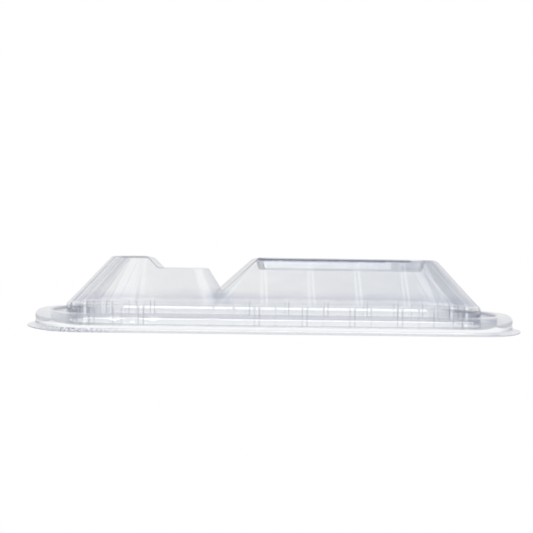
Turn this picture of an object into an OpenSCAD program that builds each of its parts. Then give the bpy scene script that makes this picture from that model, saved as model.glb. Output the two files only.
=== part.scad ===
// Twin-dome press-on lid, thermoformed from one clear sheet.
// Each node is one formed zone of that sheet, split at its crease lines.
// Origin: centre of the lid in plan, on the underside of the flange. +Z is up, the front faces -Y.

/* [Overall] */
// Length over the flange, at the middle of the bowed ends
lid_l = 242; // [225:1:260]
// Width over the flange
lid_w = 170; // [160:1:180]
// Height from the underside of the flange to the highest top
lid_h = 34; // [31:0.5:38]
// Thickness of the formed sheet
sheet_t = 0.5; // [0.3:0.1:0.8]

/* [Rim] */
// Radius of the bowed short ends, at the flange's edge
end_r = 165; // [150:5:220]
// Radius of the four corners, at the flange's edge
corner_r = 22.8; // [20:0.2:26]
// Width of the flange outside the bead
flange_w = 3.8; // [3:0.2:5]
// Width of the bead, over both of its walls
bead_w = 7.8; // [7:0.2:9]
// Height of the bead's crown
bead_h = 8.1; // [7:0.1:10]
// Radius of the bead's outer shoulder
shoulder_r = 3; // [2:0.5:3.5]
// Radius of the bead's inner shoulder
inner_shoulder_r = 1.2; // [0.8:0.1:1.5]
// Depth of the holding groove in the skirt
groove_d = 0.4; // [0.2:0.1:0.4]
// Height of the holding groove's middle
groove_z = 3.4; // [3:0.1:3.6]
// Height of the holding groove
groove_h = 1.2; // [0.8:0.1:1.4]
// Width of the gutter between the bead and the domes
gutter_w = 7; // [6:0.2:8]
// Height of the gutter's floor
gutter_z = 3; // [2:0.1:4]

/* [Domes] */
// Height of the ledge on top of the plinths
ledge_z = 12.2; // [11:0.1:13]
// Width of the ledge
ledge_w = 2.2; // [1.5:0.1:3]
// Slope of the outer walls
wall_slope = 47.4; // [45:0.2:50]
// Radius of the outer corners of the plinths
dome_corner_r = 37; // [34:1:39]
// Depth of the stacking recesses below the highest top
recess_h = 5.2; // [3:0.1:6]
// Width of the saddle at the bottom of the valley between the domes
saddle_w = 1.2; // [0.8:0.1:2]

/* [Left dome] */
// Distance of the inner end from the middle, at the ledge
left_foot_x = 22.3; // [21:0.1:23]
// Distance of the inner end from the middle, at the shelf
left_shelf_x = 32.7; // [31:0.1:34]
// Distance of the crown's inner edge from the middle
left_crown_x = 61.2; // [56:0.2:61.2]
// Run of the sloping step between the crown and the shelf
left_step_run = 5; // [3:0.5:6]
// Radius of the inner corners at the ledge
left_inner_r = 14; // [10:1:16]
// Radius of the inner corners at the top
left_top_inner_r = 5; // [4:0.5:7]

/* [Right dome] */
// Distance of the inner end past the middle, at the ledge
right_foot_x = 33.1; // [32:0.1:34]
// Distance of the inner end past the middle, at the top
right_top_x = 10.2; // [10.2:0.1:11]
// Radius of the inner corners at the ledge
right_inner_r = 7; // [6:0.5:9]
// Radius of the inner corners at the top
right_top_inner_r = 0.8; // [0.8:0.1:0.8]
// Width of the raised stacking rim
stack_rim_w = 6; // [5:0.5:7]
// Width of the stacking rim at the inner end
inner_rim_w = 2.5; // [2:0.1:3.5]
// Radius of the recess's outer corners
recess_r = 9.2; // [8:0.2:10]
// Radius of the recess's inner corners
recess_inner_r = 4; // [3:0.2:5]
// Run of the recess's sloping riser
riser_run = 1.6; // [1:0.1:2]

/* [Ribs] */
// Distance between ribs along the straight walls
rib_pitch = 21.75; // [21:0.05:22]
// First rib on the right dome, from the middle
rib_first_x = -7.25; // [-7.25:0.05:-6]
// Width of a rib at its foot
rib_foot_w = 4.2; // [3.4:0.1:4.2]
// Width of a rib's crest
rib_crest_w = 1.4; // [1:0.1:2]
// How far a rib stands out at its foot
rib_h = 0.8; // [0.5:0.1:1.2]
// How far a rib stands out at its top
rib_top_h = 0.5; // [0.2:0.1:0.8]
// Angle of the first rib in the left dome's outer corner, from the straight wall
left_fan_first = 8.4; // [8:0.2:10]
// Angle between ribs in the left dome's outer corner
left_fan_step = 22.8; // [20:0.2:23]
// Angle of the first rib in the right dome's outer corner, from the straight wall
right_fan_first = 22; // [20:1:24]
// Angle between ribs in the right dome's outer corner
right_fan_step = 27; // [24:1:28]

/* [Plinth blocks] */
// Width of the recess beside each block
slot_w = 2.2; // [1.6:0.1:2.6]
// Depth of that recess
slot_d = 1.5; // [1:0.1:1.8]
// Width of the block under each rib
block_w = 6.8; // [6:0.1:7.5]
// How far the wall between blocks is set back
panel_d = 0.6; // [0.3:0.1:0.8]

/* [Hidden] */
$fn = 96;
clear_plastic = [0.78, 0.82, 0.86, 0.6];

// Insets from the flange's edge
skirt_in = flange_w;
bead_in = flange_w + bead_w;
plinth_in = bead_in + gutter_w;
foot_in = plinth_in + ledge_w;
plate_z = lid_h - sheet_t;
wall_run = (plate_z - ledge_z) / tan(wall_slope);
top_in = foot_in + wall_run;
// Horizontal thickness of a sloping wall
slope_t = sheet_t / sin(wall_slope);
shelf_z = lid_h - recess_h;
end_cx = lid_l / 2 - end_r;

// Steps round each stretch of an outline, and the clearance that they keep from ribs
fan_steps = 12;
end_steps = 6;
corner_steps = 6;
inner_steps = 5;
arc_gap = 0.6;
// Run of a slot's or a block's edge
edge_run = 0.4;

// --- Outline of the rim: straight sides, bowed ends and round corners ---
function rim_corner(d) = corner_r - d / 2;
function corner_y(d, r) = lid_w / 2 - d - r;
function corner_x(d, r) = end_cx + sqrt(pow(end_r - d - r, 2) - pow(corner_y(d, r), 2));
function corner_end(d, r) = asin(corner_y(d, r) / (end_r - d - r));

function polar(cx, cy, r, a) = [cx + r * cos(a), cy + r * sin(a)];
function flip_x(p) = [-p[0], p[1]];
function flip_y(p) = [p[0], -p[1]];
function reversed(v) = [for (i = [len(v) - 1:-1:0]) v[i]];

// True outline for extruded zones
module outline(d, r = undef) {
    corner = is_undef(r) ? rim_corner(d) : r;
    x = corner_x(d, corner);
    y = corner_y(d, corner);
    a = corner_end(d, corner);
    square([2 * x, lid_w - 2 * d], center = true);
    for (side = [0, 1]) mirror([side, 0, 0]) {
        for (s = [-1, 1]) translate([x, s * y]) circle(corner);
        intersection() {
            translate([end_cx, 0]) circle(end_r - d);
            polygon([[end_cx, 0], polar(end_cx, 0, 2 * end_r, -a), polar(end_cx, 0, 2 * end_r, a)]);
        }
    }
}

module ring_2d(d_out, d_in) {
    difference() {
        outline(d_out);
        outline(d_in);
    }
}

module extruded(z0, z1) {
    translate([0, 0, z0]) linear_extrude(z1 - z0) children();
}

// Outline of the rim as points, for swept zones
function end_quarter(d, r) =
    let (x = corner_x(d, r), y = corner_y(d, r), a = corner_end(d, r))
    concat([for (i = [0:corner_steps]) polar(x, -y, r, -90 + (90 - a) * i / corner_steps)],
           [for (i = [1:end_steps]) polar(end_cx, 0, end_r - d, -a + a * i / end_steps)]);
function with_back(front) = concat(front, [for (p = reversed(front)) if (p[1] < -0.001) flip_y(p)]);
function rim_points(d) =
    let (right = with_back(end_quarter(d, rim_corner(d))))
    concat(right, [for (p = reversed(right)) flip_x(p)]);

function raised(points, z) = [for (p = points) [p[0], p[1], z]];

// A closed band: rings of equally many points, each joined to the next, and the last to the first
module band(rings) {
    n = len(rings[0]);
    m = len(rings);
    points = [for (ring = rings) for (p = ring) p];
    faces = [for (i = [0:m - 1]) for (j = [0:n - 1])
        let (i2 = (i + 1) % m, j2 = (j + 1) % n,
             a = i * n + j, b = i * n + j2, c = i2 * n + j2, e = i2 * n + j)
        for (f = [[a, c, b], [a, e, c]]) f];
    polyhedron(points, faces);
}

// A closed solid between a lower and an upper ring
module loft(low, high) {
    n = len(low);
    sides = [for (j = [0:n - 1])
        let (k = (j + 1) % n)
        for (f = [[j, n + k, k], [j, n + j, n + k]]) f];
    polyhedron(concat(low, high),
               concat(sides, [[for (j = [0:n - 1]) j]], [[for (j = [n - 1:-1:0]) n + j]]));
}

// --- Outline of a dome, drawn for a dome whose outer end is at +X ---
// Places along a wall are lengths at its foot, from the point where the straight front meets the
// round outer corner: below 0 on the front, then round the corner, then along the bowed end.
dome_x = corner_x(plinth_in, dome_corner_r);
dome_y = corner_y(plinth_in, dome_corner_r);
end_a = corner_end(plinth_in, dome_corner_r);
foot_r = dome_corner_r - ledge_w;
fan_mm = foot_r * PI / 180;
end_mm = (end_r - foot_in) * PI / 180;
fan_len = (90 - end_a) * fan_mm;
end_len = end_a * end_mm;
half_len = fan_len + end_len;

// The point at a place on an outline that lies d inside the flange's edge, moved out by a lift
function wall_point(s, d, lift) =
    s <= 0 ? [dome_x + s, d - lid_w / 2 - lift] :
    s < fan_len ? polar(dome_x, -dome_y, dome_corner_r + plinth_in - d + lift, s / fan_mm - 90) :
    polar(end_cx, 0, end_r - d + lift, (s - half_len) / end_mm);

end_ribs = [half_len - 1.5 * rib_pitch, half_len - 0.5 * rib_pitch];
right_ribs = concat([for (i = [0:3]) rib_first_x + i * rib_pitch - dome_x],
                    [for (i = [0:1]) (right_fan_first + i * right_fan_step) * fan_mm], end_ribs);
left_ribs = concat([for (i = [0:2]) (left_fan_first + i * left_fan_step) * fan_mm], end_ribs);

// A station is [place, height]: how far the wall stands out at a place
function rib_stations(at) =
    [[at - rib_foot_w / 2, 0], [at - rib_crest_w / 2, 1],
     [at + rib_crest_w / 2, 1], [at + rib_foot_w / 2, 0]];
// A slot and then a block, below a rib
function block_stations(at) =
    let (edge = at - rib_foot_w / 2)
    [[edge - slot_w - edge_run, -panel_d], [edge - slot_w, -slot_d], [edge - edge_run, -slot_d],
     [edge, 0], [edge + block_w, 0], [edge + block_w + edge_run, -panel_d]];
function joined(lists) = [for (l = lists) for (s = l) s];

// Stations of the bare round stretches, left out where other stations are
function bare_stations(busy, height) =
    [for (s = concat([for (i = [0:fan_steps]) fan_len * i / fan_steps],
                     [for (i = [1:end_steps]) fan_len + end_len * i / end_steps]))
        if (len([for (b = busy) if (s > b[0] - arc_gap && s < b[1] + arc_gap) 1]) == 0)
            [s, height]];
function merged(a, b) =
    len(a) == 0 ? b : len(b) == 0 ? a :
    a[0][0] <= b[0][0]
        ? concat([a[0]], merged([for (i = [1:1:len(a) - 1]) a[i]], b))
        : concat([b[0]], merged(a, [for (i = [1:1:len(b) - 1]) b[i]]));
function wall_stations(ribs, kept = []) =
    merged(joined([for (at = ribs) rib_stations(at)]),
           bare_stations(concat(kept, [for (at = ribs) [at - rib_foot_w / 2, at + rib_foot_w / 2]]), 0));
function plinth_stations(ribs) =
    merged(joined([for (at = ribs) block_stations(at)]),
           bare_stations([for (at = ribs) [at - rib_foot_w / 2 - slot_w, at + block_w]], -panel_d));

right_wall_stations = wall_stations(right_ribs);
// The left wall also has stations at both ends of its sloping step
step_low = left_crown_x - left_step_run - dome_x;
step_high = left_crown_x - dome_x;
left_wall_stations = merged([[step_low, 0], [step_high, 0]],
                            wall_stations(left_ribs, [[step_low, step_high]]));

// The front of an outline from its stations, then the whole with an inner end of its own
function wall_front(stations, d, lift) = [for (s = stations) wall_point(s[0], d, lift * s[1])];
function inner_corner(d, in_x, in_r) =
    [for (i = [0:inner_steps])
        polar(in_x + in_r, in_r + d - lid_w / 2, in_r, 180 + 90 * i / inner_steps)];
function dome_ring(stations, d, lift, in_x, in_r) =
    with_back(concat(inner_corner(d, in_x, in_r), wall_front(stations, d, lift)));

// Wall outlines at a height; the inset is 0 outside and the wall's thickness inside
function share(z) = (z - ledge_z) / (plate_z - ledge_z);
function mix(a, b, u) = a * (1 - u) + b * u;
function wall_in(z, inset) = mix(foot_in, top_in, share(z)) + inset;
function rib_lift(z) = mix(rib_h, rib_top_h, share(z));
left_slope = (left_shelf_x - left_foot_x) / (shelf_z - ledge_z);
function left_in_x(z) = left_foot_x + left_slope * (z - ledge_z);
function right_in_x(z) = mix(-right_foot_x, -right_top_x, share(z));
function left_ring(z, inset = 0) =
    dome_ring(left_wall_stations, wall_in(z, inset), rib_lift(z), left_in_x(z) + inset,
              mix(left_inner_r, left_top_inner_r, share(z)) - inset);
function right_ring(z, inset = 0) =
    dome_ring(right_wall_stations, wall_in(z, inset), rib_lift(z), right_in_x(z) + inset,
              mix(right_inner_r, right_top_inner_r, share(z)) - inset);
// Outline round both domes
function both_ring(z, inset = 0) =
    let (left = wall_front(left_wall_stations, wall_in(z, inset), rib_lift(z)),
         right = wall_front(right_wall_stations, wall_in(z, inset), rib_lift(z)))
    with_back(concat([for (p = reversed(left)) flip_x(p)], right));

// Height at which the two inner slopes are a saddle's width apart
right_slope = (right_foot_x - right_top_x) / (plate_z - ledge_z);
saddle_z = ledge_z + (right_foot_x - left_foot_x + saddle_w) / (right_slope + left_slope);

function left_base(inset) =
    dome_ring(plinth_stations(left_ribs), plinth_in + inset, 1, left_foot_x - ledge_w + inset,
              left_inner_r - inset);
function right_base(inset) =
    dome_ring(plinth_stations(right_ribs), plinth_in + inset, 1,
              -right_foot_x - ledge_w + inset, right_inner_r - inset);

// --- Rim ---
// The flange and the skirt are made as four stretches each: two straight sides and two ends
rim_side_x = corner_x(2 * skirt_in, rim_corner(2 * skirt_in));
skirt_low = groove_z - groove_h / 2;
skirt_high = groove_z + groove_h / 2;
skirt_outside = [[skirt_in, sheet_t], [skirt_in, skirt_low],
                 [skirt_in + groove_d, skirt_low + groove_d],
                 [skirt_in + groove_d, skirt_high - groove_d], [skirt_in, skirt_high],
                 [skirt_in, bead_h - shoulder_r]];
skirt_profile = concat(skirt_outside, [for (p = reversed(skirt_outside)) [p[0] + sheet_t, p[1]]]);

module flange_side() {
    color(clear_plastic) extruded(0, sheet_t) translate([-rim_side_x, -lid_w / 2])
        square([2 * rim_side_x, skirt_in + sheet_t]);
}

module flange_end() {
    color(clear_plastic) extruded(0, sheet_t) intersection() {
        ring_2d(0, skirt_in + sheet_t);
        translate([rim_side_x, -lid_w / 2]) square([lid_l / 2 - rim_side_x, lid_w]);
    }
}

module skirt_side() {
    color(clear_plastic) rotate([90, 0, 90]) linear_extrude(2 * rim_side_x, center = true)
        polygon([for (p = skirt_profile) [p[0] - lid_w / 2, p[1]]]);
}

// A strip's cross-sections, one after the other along the end; in each, the second half of the
// points is the inner face, in reverse
module skirt_end() {
    lines = [for (p = skirt_profile)
        let (arc = with_back(end_quarter(p[0], rim_corner(p[0]))), y = lid_w / 2 - p[0])
        raised(concat([[rim_side_x, -y]], arc, [[rim_side_x, y]]), p[1])];
    n = len(lines);
    m = len(lines[0]);
    around = [for (i = [0:n - 1]) for (j = [0:m - 2])
        let (i2 = (i + 1) % n, a = i * m + j, b = i2 * m + j)
        for (f = [[a, b, b + 1], [a, b + 1, a + 1]]) f];
    caps = [for (i = [0:n / 2 - 2])
        let (a = i * m, b = (i + 1) * m, c = (n - 2 - i) * m, e = (n - 1 - i) * m, last = m - 1)
        for (f = [[a, c, b], [a, e, c], [a + last, b + last, c + last], [a + last, c + last, e + last]]) f];
    color(clear_plastic) polyhedron([for (line = lines) for (p = line) p], concat(around, caps));
}

module front_flange() flange_side();
module back_flange() mirror([0, 1, 0]) flange_side();
module right_flange() flange_end();
module left_flange() mirror([1, 0, 0]) flange_end();
module front_skirt() skirt_side();
module back_skirt() mirror([0, 1, 0]) skirt_side();
module right_skirt() skirt_end();
module left_skirt() mirror([1, 0, 0]) skirt_end();

module rim_crown() {
    n = 4;
    m = 3;
    wall_z = bead_h - shoulder_r;
    outer = [for (i = [0:n]) [skirt_in + shoulder_r * (1 - cos(90 * i / n)),
                              wall_z + shoulder_r * sin(90 * i / n)]];
    inner = [for (i = [0:m]) [bead_in - inner_shoulder_r * (1 - sin(90 * i / m)),
                              bead_h - inner_shoulder_r * (1 - cos(90 * i / m))]];
    under_in = [for (i = [m:-1:0])
        [bead_in - sheet_t - (inner_shoulder_r - sheet_t) * (1 - sin(90 * i / m)),
         bead_h - sheet_t - (inner_shoulder_r - sheet_t) * (1 - cos(90 * i / m))]];
    under_out = [for (i = [n:-1:0])
        [skirt_in + sheet_t + (shoulder_r - sheet_t) * (1 - cos(90 * i / n)),
         wall_z + (shoulder_r - sheet_t) * sin(90 * i / n)]];
    profile = concat(outer, inner, under_in, under_out);
    color(clear_plastic) band([for (p = profile) raised(rim_points(p[0]), p[1])]);
}

module inner_rim_wall() {
    color(clear_plastic)
        extruded(gutter_z, bead_h - inner_shoulder_r) ring_2d(bead_in - sheet_t, bead_in);
}

module gutter_floor() {
    color(clear_plastic) extruded(gutter_z - sheet_t, gutter_z) difference() {
        outline(bead_in - sheet_t);
        polygon(right_base(sheet_t));
        mirror([1, 0, 0]) polygon(left_base(sheet_t));
    }
}

// --- Foot of both domes ---
module left_plinth() {
    color(clear_plastic) extruded(gutter_z, ledge_z - sheet_t) difference() {
        mirror([1, 0, 0]) polygon(left_base(0));
        mirror([1, 0, 0]) polygon(left_base(sheet_t));
        polygon(right_base(0));
    }
}

module right_plinth() {
    color(clear_plastic) extruded(gutter_z, ledge_z - sheet_t) difference() {
        polygon(right_base(0));
        polygon(right_base(sheet_t));
        mirror([1, 0, 0]) polygon(left_base(sheet_t));
    }
}

module left_ledge() {
    color(clear_plastic) extruded(ledge_z - sheet_t, ledge_z) difference() {
        mirror([1, 0, 0]) polygon(left_base(0));
        polygon(both_ring(ledge_z, slope_t));
        polygon(right_base(0));
    }
}

module right_ledge() {
    color(clear_plastic) extruded(ledge_z - sheet_t, ledge_z) difference() {
        polygon(right_base(0));
        polygon(both_ring(ledge_z, slope_t));
    }
}

module lower_wall() {
    color(clear_plastic)
        band([raised(both_ring(ledge_z), ledge_z), raised(both_ring(saddle_z), saddle_z),
              raised(both_ring(saddle_z, slope_t), saddle_z),
              raised(both_ring(ledge_z, slope_t), ledge_z)]);
}

module valley_saddle() {
    color(clear_plastic) extruded(saddle_z - sheet_t, saddle_z) difference() {
        polygon(both_ring(saddle_z, slope_t));
        polygon(right_ring(saddle_z, slope_t));
        mirror([1, 0, 0]) polygon(left_ring(saddle_z, slope_t));
    }
}

// --- Left dome ---
// Height of the wall's top edge: the shelf, the sloping step or the crown, by distance from the middle
function left_edge_z(x) =
    let (u = (x - left_crown_x + left_step_run) / left_step_run)
    mix(shelf_z - sheet_t, plate_z, min(1, max(0, u)));
function left_edge(inset) =
    let (low = left_ring(saddle_z, inset), high = left_ring(plate_z, inset))
    [for (i = [0:len(low) - 1])
        let (z = left_edge_z(low[i][0]), u = (z - saddle_z) / (plate_z - saddle_z))
        [mix(low[i][0], high[i][0], u), mix(low[i][1], high[i][1], u), z]];

module left_wall() {
    color(clear_plastic) mirror([1, 0, 0])
        band([raised(left_ring(saddle_z), saddle_z), left_edge(0), left_edge(slope_t),
              raised(left_ring(saddle_z, slope_t), saddle_z)]);
}

module left_crown() {
    color(clear_plastic) extruded(plate_z, lid_h) intersection() {
        mirror([1, 0, 0]) polygon(left_ring(plate_z));
        translate([-lid_l, -lid_w / 2]) square([lid_l - left_crown_x, lid_w]);
    }
}

// The sheet's upright edge across the left dome, as wide as the dome is at that height
function across(x, z) =
    let (y = lid_w / 2 - wall_in(z, 0))
    [[-x, -y, z], [-x, y, z], [-x, y, z + sheet_t], [-x, -y, z + sheet_t]];

module left_step() {
    color(clear_plastic) loft(across(left_crown_x, plate_z),
                              across(left_crown_x - left_step_run, shelf_z - sheet_t));
}

module left_shelf() {
    color(clear_plastic) extruded(shelf_z - sheet_t, shelf_z) intersection() {
        mirror([1, 0, 0]) polygon(left_ring(shelf_z - sheet_t));
        translate([left_step_run - left_crown_x, -lid_w / 2]) square([lid_l, lid_w]);
    }
}

// --- Right dome ---
module right_wall() {
    color(clear_plastic)
        band([raised(right_ring(saddle_z), saddle_z), raised(right_ring(plate_z), plate_z),
              raised(right_ring(plate_z, slope_t), plate_z),
              raised(right_ring(saddle_z, slope_t), saddle_z)]);
}

// Outline inside the stacking rim
function recess(inset) =
    let (d = top_in + stack_rim_w + inset)
    with_back(concat(inner_corner(d, inner_rim_w - right_top_x + inset, recess_inner_r - inset),
                     end_quarter(d, recess_r - inset)));

module right_stacking_rim() {
    color(clear_plastic) extruded(plate_z, lid_h) difference() {
        polygon(right_ring(plate_z));
        polygon(recess(0));
    }
}

module right_riser() {
    low = shelf_z;
    under = low - sheet_t;
    color(clear_plastic)
        band([raised(recess(-sheet_t), plate_z), raised(recess(0), plate_z),
              raised(recess(riser_run), low), raised(recess(riser_run), under),
              raised(recess(riser_run - sheet_t), under)]);
}

module right_panel() {
    color(clear_plastic) extruded(shelf_z - sheet_t, shelf_z)
        polygon(recess(riser_run));
}

front_flange();
back_flange();
left_flange();
right_flange();
front_skirt();
back_skirt();
left_skirt();
right_skirt();
rim_crown();
inner_rim_wall();
gutter_floor();
left_plinth();
right_plinth();
left_ledge();
right_ledge();
lower_wall();
valley_saddle();
left_wall();
left_crown();
left_step();
left_shelf();
right_wall();
right_stacking_rim();
right_riser();
right_panel();
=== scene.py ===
"""Clear twin-dome lid, thermoformed from one sheet, with its zones as separate pieces.

The whole outer face of the sheet is laid out first, as patches that share their edges. Each patch
is rows of points: a row runs round the lid, anticlockwise from above, and the rows go inward and
up. The inner face lies a sheet's thickness below. Then the sheet is cut into pieces along its
creases. Lengths are in millimetres until a mesh is made. An inset is a distance inward from the
flange's edge."""

import math

import bpy
import numpy as np
from mathutils import Matrix, Vector


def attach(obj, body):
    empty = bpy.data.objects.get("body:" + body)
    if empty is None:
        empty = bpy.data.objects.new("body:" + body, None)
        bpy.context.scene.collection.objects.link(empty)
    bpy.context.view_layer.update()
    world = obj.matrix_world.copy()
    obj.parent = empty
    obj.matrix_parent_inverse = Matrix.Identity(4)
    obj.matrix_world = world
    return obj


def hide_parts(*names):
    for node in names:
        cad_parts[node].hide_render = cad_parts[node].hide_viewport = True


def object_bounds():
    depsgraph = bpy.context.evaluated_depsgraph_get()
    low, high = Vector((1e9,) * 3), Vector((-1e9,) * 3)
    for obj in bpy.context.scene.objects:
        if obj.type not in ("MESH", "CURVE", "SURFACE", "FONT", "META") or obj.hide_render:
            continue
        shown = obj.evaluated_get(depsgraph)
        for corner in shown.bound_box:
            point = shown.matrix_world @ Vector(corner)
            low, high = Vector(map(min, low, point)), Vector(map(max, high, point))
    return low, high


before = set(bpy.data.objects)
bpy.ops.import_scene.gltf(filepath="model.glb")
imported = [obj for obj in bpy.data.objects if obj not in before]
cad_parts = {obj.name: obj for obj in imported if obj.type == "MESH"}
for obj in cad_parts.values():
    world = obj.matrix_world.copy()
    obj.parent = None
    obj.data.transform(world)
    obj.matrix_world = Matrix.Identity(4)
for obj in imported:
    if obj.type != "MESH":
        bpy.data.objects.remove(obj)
cad_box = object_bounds()

MM = 0.001

# --- Sizes of the lid, in mm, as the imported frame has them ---
LOW, HIGH = (np.array(corner) / MM for corner in cad_box)
LENGTH, WIDTH, TOP_Z = np.round(HIGH - LOW, 3)
SHEET_T = 0.5
END_R = 165.0
END_CX = LENGTH / 2 - END_R
RIM_CORNER_R = 22.8
FLANGE_W, BEAD_W, BEAD_Z, GUTTER_W, GUTTER_Z = 3.8, 7.8, 8.1, 7.0, 3.0
SHOULDER_R, INNER_SHOULDER_R, SKIRT_FILLET_R, FLOOR_FILLET_R = 3.0, 1.2, 1.3, 0.8
GROOVE_D, GROOVE_Z, GROOVE_H, GROOVE_EDGE_R = 0.4, 3.4, 1.2, 0.55
LEDGE_Z, LEDGE_W, WALL_SLOPE = 12.2, 2.2, 47.4
# The ledge's front edge lies LEDGE_DROP lower than its back, and has a bevel LEDGE_FACET high
LEDGE_DROP, LEDGE_FACET = 0.5, 1.4
LEDGE_EDGE_R, LEDGE_FILLET_R, TOP_EDGE_R, INNER_EDGE_R = 0.6, 1.0, 1.6, 1.4
STACK_EDGE_R = 4.0
DOME_CORNER_R = 37.0
SHELF_Z = TOP_Z - 5.2
SKIRT_IN, BEAD_IN = FLANGE_W, FLANGE_W + BEAD_W
PLINTH_IN = BEAD_IN + GUTTER_W
FOOT_IN = PLINTH_IN + LEDGE_W
PLATE_Z = TOP_Z - SHEET_T
WALL_RUN = (PLATE_Z - LEDGE_Z) / math.tan(math.radians(WALL_SLOPE))
TOP_IN = FOOT_IN + WALL_RUN

LEFT_FOOT_X, LEFT_SHELF_X = 22.3, 32.7
CROWN_X, STEP_RUN = 61.2, 5.0
LEFT_INNER_R, LEFT_TOP_INNER_R = 14.0, 5.0
RIGHT_FOOT_X, RIGHT_TOP_X = -33.1, -9.9
RIGHT_INNER_R, RIGHT_TOP_INNER_R = 7.0, 1.3
STACK_RIM_W, INNER_RIM_W, RISER_RUN = 6.0, 2.5, 1.6
RECESS_R, RECESS_INNER_R = 9.2, 4.0
STEP_EDGE_R, STEP_FOOT_R, RECESS_EDGE_R = 3.0, 1.2, 1.0

RIB_PITCH, RIB_FIRST_X = 21.75, -7.25
RIB_FOOT_W, RIB_CREST_W, RIB_TAPER, RIB_H, RIB_TOP_H = 4.2, 0.4, 0.75, 0.7, 0.45
# The ribs round each dome's outer corner, in degrees round it
LEFT_FAN, RIGHT_FAN = (8.4, 31.2, 54.0), (22.0, 49.0)
SLOT_W, SLOT_D, BLOCK_W, PANEL_D, BLOCK_EDGE = 2.2, 1.5, 6.8, 0.6, 0.6
RIGHT_PANEL_X = -20.9

# --- Look of the sheet: how far forming leaves it out of true, and its tint ---
# Height of the waves in the sheet and of the changes in its thickness, and how long each is
WAVE, WAVE_LENGTH = 0.02, 18.0
THINNING, THINNING_LENGTH = 0.02, 9.0
# The stretch of the front edge that is trimmed roughly, how far off, and how long its teeth are
ROUGH_EDGE_X, ROUGH_EDGE, TOOTH_LENGTH = (-108, -86), 0.3, 1.4
# Small dents in the skirt's front, where the lid is pressed on: place along it, height and depth
DENTS = [(-74, 6.0, 0.45), (-66, 5.6, 0.5), (-57, 6.1, 0.45), (-31, 5.2, 0.25)]
DENT_SIZE = (2.6, 0.9)
# What one face of the sheet lets through, from seen head-on at 0 to seen edge-on at 1: the domes,
# the rim, the gutter, the ledges, the foot bands, and the stacking rim's straight folded edge
DOME_DIMMING = [
    (0.0, (0.973, 0.976, 0.977)), (0.3, (0.973, 0.976, 0.977)), (0.55, (0.968, 0.972, 0.976)),
    (0.85, (0.935, 0.94, 0.95)), (0.95, (0.8, 0.81, 0.84)), (1.0, (0.35, 0.36, 0.4)),
]
RIM_DIMMING = [
    (0.0, (0.981, 0.984, 0.988)), (0.5, (0.977, 0.981, 0.986)), (0.85, (0.968, 0.972, 0.978)),
    (1.0, (0.93, 0.935, 0.948)),
]
GUTTER_DIMMING = [
    (0.0, (0.986, 0.988, 0.991)), (0.3, (0.982, 0.985, 0.989)), (0.6, (0.976, 0.979, 0.984)),
    (0.9, (0.962, 0.966, 0.973)), (1.0, (0.91, 0.915, 0.93)),
]
# The ledges' ramp stays light even edge-on, unlike the domes': painted light along the ledges
LEDGE_PAINTED_LIGHT_DIMMING = [(0.0, (0.983, 0.986, 0.989)), (1.0, (0.98, 0.983, 0.987))]
# The foot bands' ramp is darker than the domes': painted shade on the bands and their slot sides
FOOT_BAND_PAINTED_SHADE_DIMMING = [
    (0.0, (0.981, 0.984, 0.988)), (0.12, (0.97, 0.974, 0.98)), (0.35, (0.925, 0.93, 0.942)),
    (0.6, (0.885, 0.89, 0.905)), (1.0, (0.88, 0.885, 0.9)),
]
# The fold's ramp is far darker: painted shade along the stacking rim's straight folded edge
FOLD_PAINTED_SHADE_DIMMING = [
    (0.0, (0.95, 0.955, 0.965)), (0.26, (0.88, 0.885, 0.905)), (0.4, (0.66, 0.67, 0.71)),
    (0.85, (0.62, 0.63, 0.68)), (1.0, (0.66, 0.67, 0.72)),
]
# Painted shade, where the sheet is greyer still, as a colour that it is multiplied by and the place
# in mm: towards the right, in a ragged band at the foot of the walls, at the foot of the valley
# between the domes, at the rim's right end, and all along the trim. Inside the top of the bead
# beyond the domes a dark reflection is painted. The trim also has torn specks at the front left
RIGHT_PAINTED_SHADE, RIGHT_PAINTED_SHADE_X = (0.97, 0.974, 0.983), (-40, 75)
WALL_FOOT_PAINTED_SHADE, WALL_FOOT_PAINTED_SHADE_Z, WALL_FOOT_SHADE_RAGGED = (0.94, 0.945, 0.962), (20.5, 16), 6
VALLEY_PAINTED_SHADE, VALLEY_SHADE_X, VALLEY_SHADE_W = (0.93, 0.935, 0.95), -27.5, 7.0
VALLEY_PAINTED_SHADE_Z = (20, 14)
BRIM_PAINTED_REFLECTION, BRIM_REFLECTION_X, BRIM_REFLECTION_FACING = (0.62, 0.63, 0.68), (98, 103), (0.25, 0.6)
BRIM_REFLECTION_Z = (BEAD_Z - 2, BEAD_Z - 1)
END_PAINTED_SHADE, RIM_END_SHADE_X, TRIM_END_SHADE_X = (0.95, 0.955, 0.965), (106, 113), (88, 96)
TRIM_PAINTED_SHADE = (0.935, 0.94, 0.95)
TORN_GREY, TORN_X, TORN_Y, TORN_SPREAD = (0.72, 0.73, 0.77), (-66, -92), (-20, -50), (0.47, 0.53)
# The share that is mirrored head-on, and how rough the mirror is
HEAD_ON = 0.05
ROUGH = (0.06, 0.16)
MIRROR_TINT = (0.97, 0.98, 1.0)
# Scale and detail of the noises: orange peel, haze, the walls' ragged band of painted shade and
# the torn trim
PEEL, HAZE, SHADE_BAND_NOISE, TORN_NOISE = (260.0, 2.0), (45.0, 3.0), (60.0, 2.0), (1100.0, 1.0)

# --- Camera and light ---
CAMERA_PLACE = (-34.2, -658.5, 28.9)
CAMERA_YAW, CAMERA_PITCH, CAMERA_ROLL, CAMERA_LENS = 2.66, 0.089, 0.818, 88.6
# How bright the floor is to the plastic; the camera sees it white
FLOOR_GREY = (0.6, 0.6, 0.62)
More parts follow.
